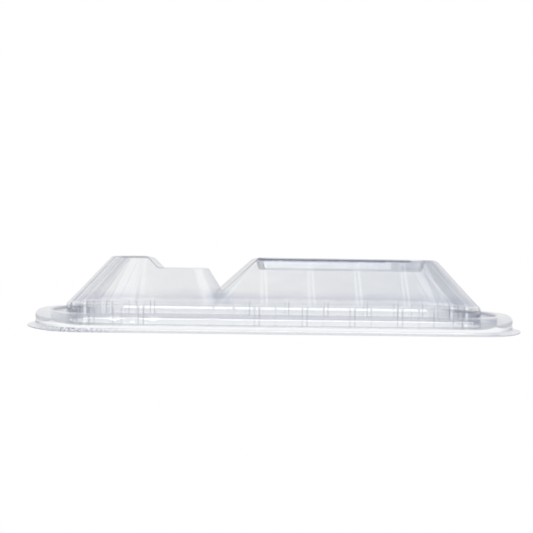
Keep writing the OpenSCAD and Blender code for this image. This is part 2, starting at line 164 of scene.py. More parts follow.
# The room's grey by the height of a direction, less BACK_REACH of how far it points to the back and
# plus RIGHT_DARKER of how far it points to the right
BACK_REACH, RIGHT_DARKER, COOL = 0.5, 0.06, 0.045
ROOM = [(0.0, 0.75), (0.5, 0.95), (0.58, 0.85), (0.72, 0.36), (1.0, 0.12)]
# Name, place, aim, size and power of each lamp, in metres and watts
SOFTBOXES = [
    ("front_box", (-0.1, -1.7, 1.5), (0, 0, 0), (2.4, 1.0), 24),
    ("left_box", (-0.8, 0.1, 1.35), (0, 0, 0), (0.6, 1.6), 2.8),
    ("right_box", (0.7, 0.1, 1.4), (0, 0, 0), (0.4, 1.6), 2.2),
]

# --- How finely the sheet is laid out, in mm between points or in points a stretch ---
COLUMN_GAP, RIM_GAP = 0.32, 0.6
ARC_ROWS, WALL_ROWS, CHORD_STEPS, RIM_FLAT_ROWS = 7, 18, 44, 5
INNER_COLUMNS, PLAIN_COLUMNS = 26, 44


# ------------------------------------------------------------------ outlines
def corner_y(inset, r):
    return WIDTH / 2 - inset - r


def corner_x(inset, r):
    return END_CX + math.sqrt((END_R - inset - r) ** 2 - corner_y(inset, r) ** 2)


def corner_end(inset, r):
    """Where a round corner runs into the bowed end, as an angle at the bow's centre."""
    return math.asin(corner_y(inset, r) / (END_R - inset - r))


DOME_X = corner_x(PLINTH_IN, DOME_CORNER_R)
DOME_Y = corner_y(PLINTH_IN, DOME_CORNER_R)
END_ANGLE = corner_end(PLINTH_IN, DOME_CORNER_R)
FOOT_R = DOME_CORNER_R - LEDGE_W
FAN_LEN = (math.pi / 2 - END_ANGLE) * FOOT_R
END_LEN = END_ANGLE * (END_R - FOOT_IN)
HALF_LEN = FAN_LEN + END_LEN


def smooth(u):
    u = np.clip(u, 0, 1)
    return u * u * (3 - 2 * u)


def share(z):
    return (z - LEDGE_Z) / (PLATE_Z - LEDGE_Z)


def mix(a, b, u):
    return a + (b - a) * u


def rounded_line(points, radii):
    """A line of straight stretches with its inner corners rounded, as points."""
    points = [np.array(p, float) for p in points]
    made = [points[0]]
    for before, at, after, r in zip(points, points[1:], points[2:], radii):
        a, b = before - at, after - at
        a, b = a / np.linalg.norm(a), b / np.linalg.norm(b)
        half = math.acos(np.clip(a @ b, -1, 1)) / 2
        reach = r / math.tan(half)
        centre = at + (a + b) / np.linalg.norm(a + b) * r / math.sin(half)
        start, stop = at + a * reach - centre, at + b * reach - centre
        turn = math.pi - 2 * half
        for i in range(ARC_ROWS + 1):
            u = i / ARC_ROWS * turn
            made.append(
                centre
                + (start * math.sin(turn - u) + stop * math.sin(u)) / math.sin(turn)
            )
    made.append(points[-1])
    return np.array(made)


def rim_loop(inset):
    """The rim's outline at an inset, anticlockwise from the middle of its front."""
    r = RIM_CORNER_R - inset / 2
    x, y, angle = corner_x(inset, r), corner_y(inset, r), corner_end(inset, r)
    n_side = int(DOME_X / RIM_GAP)
    n_corner = int(RIM_CORNER_R * (math.pi / 2 - END_ANGLE) / RIM_GAP * 1.2)
    n_end = int(END_LEN / RIM_GAP * 1.3)
    side = np.stack([np.linspace(0, x, n_side, endpoint=False), np.full(n_side, -y - r)], 1)
    a = np.linspace(-math.pi / 2, -angle, n_corner, endpoint=False)
    corner = np.stack([x + r * np.cos(a), -y + r * np.sin(a)], 1)
    a = np.linspace(-angle, 0, n_end + 1)
    end = np.stack([END_CX + (END_R - inset) * np.cos(a), (END_R - inset) * np.sin(a)], 1)
    front = np.concatenate([side, corner, end])
    right = np.concatenate([front, front[-2::-1] * (1, -1)])
    left = right[-2:0:-1] * (-1, 1)
    return np.concatenate([right, left])


class Dome:
    """One dome, drawn with its outer end at +X. side is 1 for the right dome, -1 for the left."""

    def __init__(self, side, foot_x, slope, inner_r, top_inner_r, ribs, fan, plain_end, edge_r):
        self.side, self.foot_x, self.slope = side, foot_x, slope
        self.inner_r, self.top_inner_r = inner_r, top_inner_r
        self.plain_end, self.edge_r, self.relief = plain_end, edge_r, 1.0
        self.ribs = ribs + [math.radians(angle) * FOOT_R for angle in fan]
        self.ribs += [HALF_LEN - 1.5 * RIB_PITCH, HALF_LEN - 0.5 * RIB_PITCH]
        straight = np.arange(plain_end, DOME_X, COLUMN_GAP) - DOME_X
        fan = np.linspace(0, FAN_LEN, int(FAN_LEN / COLUMN_GAP), endpoint=False)
        end = np.linspace(FAN_LEN, HALF_LEN, int(END_LEN / COLUMN_GAP / 1.3))
        self.places = np.concatenate([straight, fan, end])

    def in_x(self, inset, z):
        return self.foot_x + min(0, inset - FOOT_IN) + self.slope * max(0, z - LEDGE_Z)

    def in_r(self, z):
        return mix(self.inner_r, self.top_inner_r, min(1, max(0, share(z))))

    def rib_lift(self, places, z):
        """How far the wall stands out along itself at a height."""
        up = np.clip(share(z), 0, 1)
        foot = mix(RIB_FOOT_W, RIB_FOOT_W * RIB_TAPER, up) / 2
        crest = mix(RIB_CREST_W, RIB_CREST_W * RIB_TAPER, up) / 2
        lift = np.zeros_like(places)
        for rib in self.ribs:
            lift = np.maximum(lift, smooth((foot - np.abs(places - rib)) / (foot - crest)))
        return lift * mix(RIB_H, RIB_TOP_H, up) * self.relief

    def block_lift(self, places):
        """How far the foot band stands out along itself: slots, blocks and panels."""
        first = RIGHT_PANEL_X - DOME_X if self.side > 0 else self.ribs[0] - 2 * SLOT_W
        lift = np.full_like(places, -PANEL_D) + PANEL_D * smooth((first - places) / BLOCK_EDGE)
        for rib in self.ribs:
            edge = rib - RIB_FOOT_W / 2
            block = smooth((places - edge) / BLOCK_EDGE + 1)
            block *= smooth((edge + BLOCK_W - places) / BLOCK_EDGE + 1)
            slot = smooth((places - edge + SLOT_W + BLOCK_EDGE) / BLOCK_EDGE)
            slot *= smooth((edge - places) / BLOCK_EDGE)
            lift = mix(lift, 0.0, block)
            lift = mix(lift, -SLOT_D, slot)
        return lift * self.relief

    def front(self, inset, z, start, foot_share, in_x=None, in_r=None, r_out=None):
        """Points of the front half of an outline, from its inner end to the middle of its outer
        end. inset and z may differ from column to column over the ribbed stretch. start is where
        the outline begins on its inner end: a distance from the middle, or an angle on the
        corner."""
        first = inset[0] if np.ndim(inset) else inset
        first_z = z[0] if np.ndim(z) else z
        in_x = self.in_x(first, first_z) if in_x is None else in_x
        in_r = self.in_r(first_z) if in_r is None else in_r
        half_w = WIDTH / 2 - first
        kind, value = start
        straight = max(0.0, half_w - in_r - value) if kind == "y" else 0.0
        a0 = value if kind == "angle" else 0.0
        whole = straight + in_r * (math.pi / 2 - a0)
        along = np.linspace(0, whole, INNER_COLUMNS, endpoint=False)
        turn = a0 + np.maximum(0, along - straight) / in_r
        x = in_x + in_r - in_r * np.cos(turn)
        y = -(half_w - in_r) - in_r * np.sin(turn) + np.maximum(0, straight - along)
        inner = np.stack([x, y, np.full_like(x, first_z)], 1)
        x = np.linspace(in_x + in_r, self.plain_end, PLAIN_COLUMNS, endpoint=False)
        lift = mix(self.block_lift(x - DOME_X), self.rib_lift(x - DOME_X, first_z), foot_share)
        if self.side > 0:
            lift *= smooth(x - in_x - in_r)
        plain = np.stack([x, -half_w - lift, np.full_like(x, first_z)], 1)
        s = self.places
        inset = np.broadcast_to(inset, s.shape)
        z = np.broadcast_to(z, s.shape)
        lift = mix(self.block_lift(s), self.rib_lift(s, z), foot_share)
        r = DOME_CORNER_R + PLINTH_IN - inset + lift
        a = s / FOOT_R - math.pi / 2
        b = (s - HALF_LEN) / (END_R - FOOT_IN)
        end_r = END_R - inset + lift
        zones = [s < 0, s < FAN_LEN]
        x = np.select(zones, [DOME_X + s, DOME_X + r * np.cos(a)], END_CX + end_r * np.cos(b))
        y = np.select(
            zones, [inset - WIDTH / 2 - lift, -DOME_Y + r * np.sin(a)], end_r * np.sin(b)
        )
        ribbed = np.stack([x, y, z], 1)
        return np.concatenate([inner, plain, ribbed])

    def ring(self, front, closed):
        """A whole row from its front half: round the outer end, and along the inner end if it is
        closed."""
        row = np.concatenate([front, front[-2::-1] * (1, -1, 1)])
        if closed:
            u = np.linspace(0, 1, CHORD_STEPS + 1)[1:-1, None]
            row = np.concatenate([row, mix(row[-1], row[0], u)])
        return row * (self.side, 1, 1)


LEFT_SLOPE = (LEFT_SHELF_X - LEFT_FOOT_X) / (SHELF_Z - LEDGE_Z)
RIGHT_SLOPE = (RIGHT_TOP_X - RIGHT_FOOT_X) / (PLATE_Z - LEDGE_Z)
left = Dome(
    -1, LEFT_FOOT_X, LEFT_SLOPE, LEFT_INNER_R, LEFT_TOP_INNER_R, [], LEFT_FAN, 50.0, TOP_EDGE_R
)
right = Dome(
    1, RIGHT_FOOT_X, RIGHT_SLOPE, RIGHT_INNER_R, RIGHT_TOP_INNER_R,
    [RIB_FIRST_X + i * RIB_PITCH - DOME_X for i in range(4)], RIGHT_FAN,
    RIB_FIRST_X - RIB_FOOT_W * RIB_TAPER / 2, STACK_EDGE_R,
)
VALLEY_Z = LEDGE_Z - (RIGHT_FOOT_X + LEFT_FOOT_X) / (RIGHT_SLOPE + LEFT_SLOPE)


def starts(inset, z):
    """Where the left and the right outline begin at a height. Below the valley that is where they
    cross."""
    half_w = WIDTH / 2 - inset
    lx, lr = -left.in_x(inset, z), left.in_r(z)
    rx, rr = right.in_x(inset, z), right.in_r(z)
    if z >= VALLEY_Z:
        reach = WIDTH / 2 - (FOOT_IN + (VALLEY_Z - LEDGE_Z) / math.tan(math.radians(WALL_SLOPE)))
        reach -= left.in_r(VALLEY_Z)
        most = half_w - rr - 1.0
        return ("angle", 0.0), ("y", min(reach, most))

    def outside(a):
        x, y = lx - lr + lr * math.cos(a), half_w - lr + lr * math.sin(a)
        if y < half_w - rr:
            return rx - x
        if x > rx + rr:
            return y - half_w
        return math.hypot(x - rx - rr, y - half_w + rr) - rr

    low, high = 0.0, math.pi / 2
    for _ in range(50):
        middle = (low + high) / 2
        low, high = (middle, high) if outside(middle) < 0 else (low, middle)
    x, y = lx - lr + lr * math.cos(low), half_w - lr + lr * math.sin(low)
    if y < half_w - rr:
        return ("angle", low), ("y", y)
    return ("angle", low), ("angle", math.atan2(y - half_w + rr, rx + rr - x))


# ------------------------------------------------------------------ the sheet's outer face
class Sheet:
    """The outer face as points and faces, each face with the name of its piece."""

    def __init__(self):
        self.points, self.faces, self.names, self.count = [], [], [], 0

    def add(self, points, faces, name):
        self.points.append(points)
        self.faces.append(np.array(faces) + self.count)
        self.names += [name] * len(faces)
        self.count += len(points)

    def strip(self, rows, name, closed, turned=False):
        """Faces between rows of equally many points. turned is for a row drawn in the mirror."""
        rows = np.array(rows)
        n, m = rows.shape[:2]
        index = np.arange(n * m).reshape(n, m)
        if closed:
            index = np.concatenate([index, index[:, :1]], 1)
        quads = np.stack([index[:-1, :-1], index[:-1, 1:], index[1:, 1:], index[1:, :-1]], -1)
        quads = quads.reshape(-1, 4)
        if turned:
            quads = quads[:, ::-1]
        self.add(rows.reshape(-1, 3), quads, name)

    def bridge(self, outer, inner, name):
        """Triangles between two loops that both run anticlockwise round the lid's middle."""

        def ordered(loop):
            a = np.unwrap(np.arctan2(loop[:, 1], loop[:, 0]))
            if a[-1] < a[0]:
                loop, a = loop[::-1], a[::-1]
            shift = np.argmin(np.abs(np.mod(a + math.pi / 2, 2 * math.pi)))
            loop = np.roll(loop, -shift, 0)
            a = np.unwrap(np.arctan2(loop[:, 1], loop[:, 0]))
            return loop, a - 2 * math.pi * round((a[0] + math.pi / 2) / 2 / math.pi)

        outer, a = ordered(outer)
        inner, b = ordered(inner)
        n, m = len(outer), len(inner)
        a, b = np.append(a, a[0] + 2 * math.pi), np.append(b, b[0] + 2 * math.pi)
        faces, i, j = [], 0, 0
        while i < n or j < m:
            if j == m or (i < n and a[i + 1] <= b[j + 1]):
                f = (i % n, (i + 1) % n, n + j % m)
                i += 1
            else:
                f = (i % n, n + (j + 1) % m, n + j % m)
                j += 1
            faces.append(f + (f[2],))
        self.add(np.concatenate([outer, inner]), faces, name)

    def joined(self):
        """Points that coincide become one. Returns points, faces, names and which points are
        left."""
        points = np.concatenate(self.points)
        # An odd shift keeps equal points from rounding apart
        grid = np.round(points / 0.001 + 0.3137)
        _, first, same = np.unique(grid, axis=0, return_index=True, return_inverse=True)
        faces = same.reshape(-1)[np.concatenate(self.faces)]
        return points[first], faces, np.array(self.names), first


# ------------------------------------------------------------------ profiles
def split_long(profile, most=1.0):
    """The profile with its long straight stretches cut into shorter ones."""
    made = [profile[0]]
    for a, b in zip(profile, profile[1:]):
        n = max(1, int(np.linalg.norm(b - a) / most))
        made += [mix(a, b, i / n) for i in range(1, n + 1)]
    return np.array(made)


def row_near(profile, inset, z):
    return int(np.argmin(np.hypot(profile[:, 0] - inset, profile[:, 1] - z)))


# The rim, as inset and height: from the flange's edge, over the bead and down to the gutter's floor
rim_profile = split_long(rounded_line(
    [(0, SHEET_T), (SKIRT_IN, SHEET_T), (SKIRT_IN, GROOVE_Z - GROOVE_H / 2),
     (SKIRT_IN + GROOVE_D, GROOVE_Z), (SKIRT_IN, GROOVE_Z + GROOVE_H / 2),
     (SKIRT_IN, BEAD_Z), (BEAD_IN, BEAD_Z), (BEAD_IN, GUTTER_Z), (BEAD_IN + 1.5, GUTTER_Z)],
    [SKIRT_FILLET_R, GROOVE_EDGE_R, GROOVE_EDGE_R, GROOVE_EDGE_R, SHOULDER_R, INNER_SHOULDER_R,
     FLOOR_FILLET_R],
))
rim_cuts = [
    0,
    row_near(rim_profile, SKIRT_IN, SHEET_T + SKIRT_FILLET_R),
    row_near(rim_profile, SKIRT_IN, BEAD_Z - SHOULDER_R),
    row_near(rim_profile, BEAD_IN - INNER_SHOULDER_R, BEAD_Z),
    len(rim_profile) - 1,
]

# The foot of both domes: from the gutter's floor, up the foot band, over the ledge to the valley
slope = np.array([math.cos(math.radians(WALL_SLOPE)), math.sin(math.radians(WALL_SLOPE))])
wall_foot = np.array([FOOT_IN, LEDGE_Z])
valley = wall_foot + slope * (VALLEY_Z - LEDGE_Z) / slope[1]
band_top = (PLINTH_IN, LEDGE_Z - LEDGE_DROP - LEDGE_FACET)
foot_profile = split_long(rounded_line(
    [(PLINTH_IN - 1.5, GUTTER_Z), (PLINTH_IN, GUTTER_Z), band_top,
     (PLINTH_IN + LEDGE_FACET * 0.4, LEDGE_Z - LEDGE_DROP), wall_foot, valley],
    [FLOOR_FILLET_R, LEDGE_EDGE_R, LEDGE_EDGE_R, LEDGE_FILLET_R],
))
foot_cut = row_near(foot_profile, *band_top)
fillet_reach = LEDGE_FILLET_R * math.tan(math.radians(WALL_SLOPE / 2))
ledge_cut = row_near(foot_profile, *(wall_foot + slope * fillet_reach))

# The left dome's top: from its low shelf up the sloping step to its crown, as x and height
step_line = rounded_line(
    [(CROWN_X - STEP_RUN - 6, SHELF_Z), (CROWN_X - STEP_RUN, SHELF_Z),
     (CROWN_X, TOP_Z), (CROWN_X + 6, TOP_Z)],
    [STEP_FOOT_R, STEP_EDGE_R],
)
# The right dome's recess: from the stacking rim down to the panel, as inset and height
recess_profile = rounded_line(
    [(-3.0, TOP_Z), (0, TOP_Z), (RISER_RUN, SHELF_Z), (RISER_RUN + 3.0, SHELF_Z)],
    [RECESS_EDGE_R, RECESS_EDGE_R],
)[1:-1]


def edge_rise(slope_deg, edge_r):
    """Insets and heights, from the sharp edge, of a rounded edge between a slope and a level
    top."""
    a = math.radians(slope_deg)
    turn = np.linspace(a, 0, ARC_ROWS + 1)
    return edge_r * (math.tan(a / 2) - np.sin(turn)), edge_r * (np.cos(turn) - 1)


def upper_rows(dome, top_z):
    """Closed rows from the valley up a dome's wall and over its top edge. top_z is a height for
    each ribbed column; the inner end rises to the first of them."""
    out_in, out_up = edge_rise(WALL_SLOPE, dome.edge_r)
    end_in, end_up = edge_rise(math.degrees(math.atan2(1, dome.slope)), INNER_EDGE_R)
    sharp_in = FOOT_IN + (top_z - LEDGE_Z) / math.tan(math.radians(WALL_SLOPE))
    rows = []
    for i in range(WALL_ROWS + ARC_ROWS + 1):
        u, arc = min(1, i / WALL_ROWS), max(0, i - WALL_ROWS)
        inset = mix(valley[0], sharp_in + out_in[arc], u)
        z = mix(VALLEY_Z, top_z + out_up[arc], u)
        end_z = mix(VALLEY_Z, top_z[0] + end_up[arc], u)
        in_x = dome.in_x(FOOT_IN, mix(VALLEY_Z, top_z[0] + end_up[0], u))
        in_r = dome.in_r(end_z)
        if arc:
            in_x = dome.in_x(FOOT_IN, top_z[0]) + end_in[arc]
            in_r -= end_in[arc] - end_in[0]
        in_r = max(0.05, min(in_r, dome.plain_end - 0.05 - in_x))
        half_w = WIDTH / 2 - inset[0]
        reach = WIDTH / 2 - valley[0] - left.in_r(VALLEY_Z)
        start = ("angle", 0.0) if dome is left else ("y", min(reach, half_w - in_r - 0.8))
        front = dome.front(inset, z, start, 1.0, in_x, in_r)
        turn = np.clip((-front[:INNER_COLUMNS, 1] - (half_w - in_r)) / in_r, 0, 1)
        front[:INNER_COLUMNS, 2] = mix(end_z, z[0], np.arcsin(turn) / (math.pi / 2))
        rows.append(dome.ring(front, True))
    return rows


def chords(dome, row):
    """Straight lines from each column of a closed row's front to the same column of its back."""
    n = INNER_COLUMNS + PLAIN_COLUMNS + len(dome.places)
    front, back = row[:n], row[n - 1 : 2 * n - 1][::-1]
    return mix(front[None], back[None], np.linspace(0, 1, CHORD_STEPS + 1)[:, None, None])


def recess_row(q, z):
    """A closed row of the recess's wall, with as many columns as the rows round it."""
    inset, r = TOP_IN + STACK_RIM_W + q, RECESS_R - q
    half_w, in_x, in_r = WIDTH / 2 - inset, RIGHT_TOP_X + INNER_RIM_W + q, RECESS_INNER_R - q
    straight = 4.0
    along = np.linspace(0, straight + in_r * math.pi / 2, INNER_COLUMNS, endpoint=False)
    turn = np.maximum(0, along - straight) / in_r
    inner_y = in_r - half_w - in_r * np.sin(turn) + np.maximum(0, straight - along)
    inner = np.stack([in_x + in_r - in_r * np.cos(turn), inner_y], 1)
    x, y, angle = corner_x(inset, r), corner_y(inset, r), corner_end(inset, r)
    s = right.places
    n_side, n_fan = int((s < 0).sum()) + PLAIN_COLUMNS, int(((s >= 0) & (s < FAN_LEN)).sum())
    side_x = np.linspace(in_x + in_r, x, n_side, endpoint=False)
    side = np.stack([side_x, np.full(n_side, -half_w)], 1)
    a = np.linspace(-math.pi / 2, -angle, n_fan, endpoint=False)
    fan = np.stack([x + r * np.cos(a), -y + r * np.sin(a)], 1)
    a = np.linspace(-angle, 0, len(s) + PLAIN_COLUMNS - n_side - n_fan)
    end = np.stack([END_CX + (END_R - inset) * np.cos(a), (END_R - inset) * np.sin(a)], 1)
    front = np.concatenate([inner, side, fan, end])
    return right.ring(np.column_stack([front, np.full(len(front), z)]), True)


# ------------------------------------------------------------------ laying out the sheet
def lay_out(relief):
    """The whole outer face. Without relief it has no ribs, blocks and slots, for the directions in
    which the sheet is thick."""
    left.relief = right.relief = relief
    sheet = Sheet()
    rim_rows = []
    for inset, z in rim_profile:
        loop = rim_loop(inset)
        rim_rows.append(np.column_stack([loop, np.full(len(loop), z)]))
    zones = ["trim_flange", "snap_skirt", "rim_crown", "inner_rim_wall"]
    for zone, start, stop in zip(zones, rim_cuts, rim_cuts[1:]):
        sheet.strip(rim_rows[start : stop + 1], zone, True)

    rows = {left: [], right: []}
    for inset, z in foot_profile:
        rise = float(smooth((inset - PLINTH_IN - LEDGE_EDGE_R) / (LEDGE_W - LEDGE_EDGE_R)))
        for dome, start in zip((left, right), starts(inset, z)):
            rows[dome].append(dome.ring(dome.front(inset, z, start, rise), False))
    feet_row = np.concatenate([rows[right][0], rows[left][0][::-1]])
    sheet.bridge(rim_rows[-1], feet_row, "gutter_floor")
    for dome, side in ((left, "left"), (right, "right")):
        low, mirrored = rows[dome], dome is left
        sheet.strip(low[: foot_cut + 1], side + "_plinth", False, mirrored)
        sheet.strip(low[foot_cut : ledge_cut + 1], side + "_ledge", False, mirrored)
        sheet.strip(low[ledge_cut:], side + "_wall", False, mirrored)

    step_x = left.places + DOME_X
    left_rows = upper_rows(left, np.interp(step_x, step_line[:, 0], step_line[:, 1]))
    right_rows = upper_rows(right, np.full(len(right.places), TOP_Z))
    sheet.strip(left_rows, "left_wall", True, True)
    sheet.strip(right_rows[: WALL_ROWS + 1], "right_wall", True)

    grid = chords(left, left_rows[-1])
    plain = INNER_COLUMNS + PLAIN_COLUMNS
    shelf_to = plain + int(np.argmin(np.abs(step_x - (CROWN_X - STEP_RUN - STEP_FOOT_R))))
    crown_from = plain + int(np.argmin(np.abs(step_x - (CROWN_X + STEP_EDGE_R))))
    sheet.strip(grid[:, : shelf_to + 1], "left_shelf", False, True)
    sheet.strip(grid[:, shelf_to : crown_from + 1], "left_step", False, True)
    sheet.strip(grid[:, crown_from:], "left_crown", False, True)

    recess_rows = [recess_row(q, z) for q, z in recess_profile]
    inward = np.linspace(0, 1, RIM_FLAT_ROWS + 1)[1:]
    rim_flat = [mix(right_rows[-1], recess_rows[0], u) for u in inward]
    sheet.strip(right_rows[WALL_ROWS:] + rim_flat, "right_stacking_rim", True)
    sheet.strip(recess_rows, "right_riser", True)
    sheet.strip(chords(right, recess_rows[-1]), "right_panel", False)
    return sheet


def normals_of(points, faces):
    """Each point's normal, from the faces round it weighted by their areas."""
    a, b, c, d = (points[faces[:, i]] for i in range(4))
    area = np.cross(c - a, d - b)
    total = np.zeros_like(points)
    for i in range(4):
        np.add.at(total, faces[:, i], area)
    return total / np.maximum(1e-9, np.linalg.norm(total, axis=1))[:, None]


def ripple(points, wavelength, seed, waves=14):
    """Smooth noise at each point, between about -1 and 1."""
    random = np.random.default_rng(seed)
    total = np.zeros(len(points))
    for _ in range(waves):
        way = random.normal(size=3)
        way *= 2 * math.pi / wavelength / np.linalg.norm(way) * random.uniform(0.6, 1.5)
        total += np.sin(points @ way + random.uniform(0, 2 * math.pi))
    return total / math.sqrt(waves * 2)


plain_sheet, sheet = lay_out(0.0), lay_out(1.0)
outer, faces, names, first = sheet.joined()
through = normals_of(np.concatenate(plain_sheet.points)[first], faces)

# Forming leaves the sheet a little wavy, and its trimmed edge at the front left is rough
depth = smooth((outer[:, 2] - 1.0) / 8.0)
outer += through * (WAVE * ripple(outer, WAVE_LENGTH, 3) * depth)[:, None]
along, across, height = outer.T
rough = smooth((along - ROUGH_EDGE_X[0]) / 3) * smooth((ROUGH_EDGE_X[1] - along) / 3)
rough *= (across < 0) * (height <= SHEET_T)
across += rough * ROUGH_EDGE * ripple(outer, TOOTH_LENGTH, 5)
for dent_x, dent_z, deep in DENTS:
    off = ((along - dent_x) / DENT_SIZE[0]) ** 2 + ((height - dent_z) / DENT_SIZE[1]) ** 2
    outer -= through * (deep * np.exp(-off) * (across < -WIDTH / 2 + BEAD_IN / 2))[:, None]
inner = outer - through * (SHEET_T + THINNING * ripple(outer, THINNING_LENGTH, 4))[:, None]
inner[:, 2] = np.maximum(inner[:, 2], 0.0)
outer_normals = normals_of(outer, faces)
inner_normals = -normals_of(inner, faces)


# ------------------------------------------------------------------ materials
def node(tree, kind, **values):
    made = tree.nodes.new(kind)
    for name, value in values.items():
        if name in made.bl_rna.properties:
            setattr(made, name, value)
        else:
            made.inputs[name.replace("_", " ")].default_value = value
    return made


def math_node(tree, operation, *values):
    made = node(tree, "ShaderNodeMath", operation=operation)
    for socket, value in zip(made.inputs, values):
        if isinstance(value, (int, float)):
            socket.default_value = value
        else:
            tree.links.new(value, socket)
    return made.outputs["Value"]


def colour_ramp(tree, factor, stops):
    """A colour ramp from factor, whose stops are (position, colour)."""
    ramp = node(tree, "ShaderNodeValToRGB")
    made = ramp.color_ramp.elements
    while len(made) < len(stops):
        made.new(0.5)
    for element, (position, colour) in zip(made, stops):
        element.position = position
        element.color = (*colour, 1)
    tree.links.new(factor, ramp.inputs["Fac"])
    return ramp.outputs["Color"]


def mix_node(tree, blend, factor, first, second):
    made = node(tree, "ShaderNodeMix", data_type="RGBA", blend_type=blend)
    tree.links.new(factor, made.inputs["Factor"])
    for socket, value in ((made.inputs["A"], first), (made.inputs["B"], second)):
        if isinstance(value, tuple):
            socket.default_value = value
        else:
            tree.links.new(value, socket)
    return made.outputs["Result"]


def between(tree, value, ends, scale=MM):
    """0 where value is at the first end and 1 at the second."""
    low, high = (end * scale for end in ends)
    made = node(tree, "ShaderNodeMapRange", From_Min=low, From_Max=high)
    tree.links.new(value, made.inputs["Value"])
    return made.outputs["Result"]


def noise(tree, place, kind):
    made = node(tree, "ShaderNodeTexNoise", Scale=kind[0], Detail=kind[1])
    tree.links.new(place, made.inputs["Vector"])
    return made.outputs["Fac"]


def greyer(tree, passed, colour, *shares):
    """The passed light multiplied by a colour, as far as the product of the shares says."""
    share = shares[0]
    for other in shares[1:]:
        share = math_node(tree, "MULTIPLY", share, other)
    return mix_node(tree, "MULTIPLY", share, passed, (*colour, 1))


# Each of these changes what a zone of the sheet lets through. All but the last are painted shade,
# save the brim's, a painted dark reflection; the last darkens the trim's torn specks. at holds the
# sockets for the place on the sheet, its X, Y and Z, and how edge-on the sheet lies there
# Painted shade along the stacking rim's straight folded edge, fading out round the outer end
def paint_shade_fold(tree, passed, at):
    folded = colour_ramp(tree, at["facing"], FOLD_PAINTED_SHADE_DIMMING)
    past_edge = between(tree, at["X"], (DOME_X, DOME_X + 2))
    return mix_node(tree, "MIX", past_edge, folded, passed)


# Painted shade: the sheet darker towards the right, where less light falls
def paint_shade_right(tree, passed, at):
    return greyer(tree, passed, RIGHT_PAINTED_SHADE, between(tree, at["X"], RIGHT_PAINTED_SHADE_X))


# Painted shade: a ragged darker band low on the walls, above the ledge
def paint_shade_wall_foot(tree, passed, at):
    wander = noise(tree, at["place"], SHADE_BAND_NOISE)
    shifted = math_node(tree, "MULTIPLY_ADD", wander, WALL_FOOT_SHADE_RAGGED * MM, at["Z"])
    return greyer(tree, passed, WALL_FOOT_PAINTED_SHADE, between(tree, shifted, WALL_FOOT_PAINTED_SHADE_Z))


# Painted shade low in the valley between the domes
def paint_shade_valley(tree, passed, at):
    off = math_node(tree, "ABSOLUTE", math_node(tree, "SUBTRACT", at["X"], VALLEY_SHADE_X * MM))
    beside = between(tree, off, (VALLEY_SHADE_W, VALLEY_SHADE_W / 3))
    return greyer(tree, passed, VALLEY_PAINTED_SHADE, beside, between(tree, at["Z"], VALLEY_PAINTED_SHADE_Z))


# Painted shade: the rim and the gutter darker at the rim's right end
def paint_shade_rim_end(tree, passed, at):
    return greyer(tree, passed, END_PAINTED_SHADE, between(tree, at["X"], RIM_END_SHADE_X))


# Painted shade: the trim darker at its right end
def paint_shade_trim_end(tree, passed, at):
    return greyer(tree, passed, END_PAINTED_SHADE, between(tree, at["X"], TRIM_END_SHADE_X))


# Painted dark reflection on the upright top of the bead's inside, beyond the domes
def paint_brim_reflection(tree, passed, at):
    top = between(tree, at["Z"], BRIM_REFLECTION_Z)
    upright = between(tree, at["facing"], BRIM_REFLECTION_FACING, 1)
    beyond = between(tree, math_node(tree, "ABSOLUTE", at["X"]), BRIM_REFLECTION_X)
    return greyer(tree, passed, BRIM_PAINTED_REFLECTION, top, upright, beyond)


def grey_torn(tree, passed, at):
    specks = between(tree, noise(tree, at["place"], TORN_NOISE), TORN_SPREAD, 1)
    leftward, frontward = between(tree, at["X"], TORN_X), between(tree, at["Y"], TORN_Y)
    return greyer(tree, passed, TORN_GREY, leftward, frontward, specks)


def clear_material(name, dimming, *changes):
    """Clear plastic sheet, too thin to bend what is seen through it. The more edge-on it lies, the
    more it dims that and the more it mirrors the room. Each change is a function as above, most of
    them painted shade."""
    material = bpy.data.materials.new(name)
    material.use_nodes = True
    tree = material.node_tree
    mirror = tree.nodes["Principled BSDF"]
    mirror.inputs["Base Color"].default_value = (*MIRROR_TINT, 1)
    mirror.inputs["Metallic"].default_value = 1.0
    place = node(tree, "ShaderNodeTexCoord").outputs["Object"]
    spread = node(tree, "ShaderNodeMapRange", To_Min=ROUGH[0], To_Max=ROUGH[1])
    bump = node(tree, "ShaderNodeBump", Strength=0.06, Distance=0.0004)
    tree.links.new(noise(tree, place, HAZE), spread.inputs["Value"])
    tree.links.new(spread.outputs["Result"], mirror.inputs["Roughness"])
    tree.links.new(noise(tree, place, PEEL), bump.inputs["Height"])
    tree.links.new(bump.outputs["Normal"], mirror.inputs["Normal"])
    edge_on = node(tree, "ShaderNodeLayerWeight", Blend=0.5)
    tree.links.new(bump.outputs["Normal"], edge_on.inputs["Normal"])
    facing = edge_on.outputs["Facing"]
    steep = math_node(tree, "POWER", facing, 5.0)
    mirrored = math_node(tree, "MULTIPLY_ADD", steep, 1 - HEAD_ON, HEAD_ON)
    parts = node(tree, "ShaderNodeSeparateXYZ")
    tree.links.new(place, parts.inputs["Vector"])
    at = {"place": place, "facing": facing, **{axis: parts.outputs[axis] for axis in "XYZ"}}
    passed = colour_ramp(tree, facing, dimming)
    for change in changes:
        passed = change(tree, passed, at)
    clear = node(tree, "ShaderNodeBsdfTransparent")
    tree.links.new(passed, clear.inputs["Color"])
    mixed = node(tree, "ShaderNodeMixShader")
    tree.links.new(mirrored, mixed.inputs[0])
    tree.links.new(clear.outputs["BSDF"], mixed.inputs[1])
    tree.links.new(mirror.outputs["BSDF"], mixed.inputs[2])
    tree.links.new(mixed.outputs["Shader"], tree.nodes["Material Output"].inputs["Surface"])
    return material


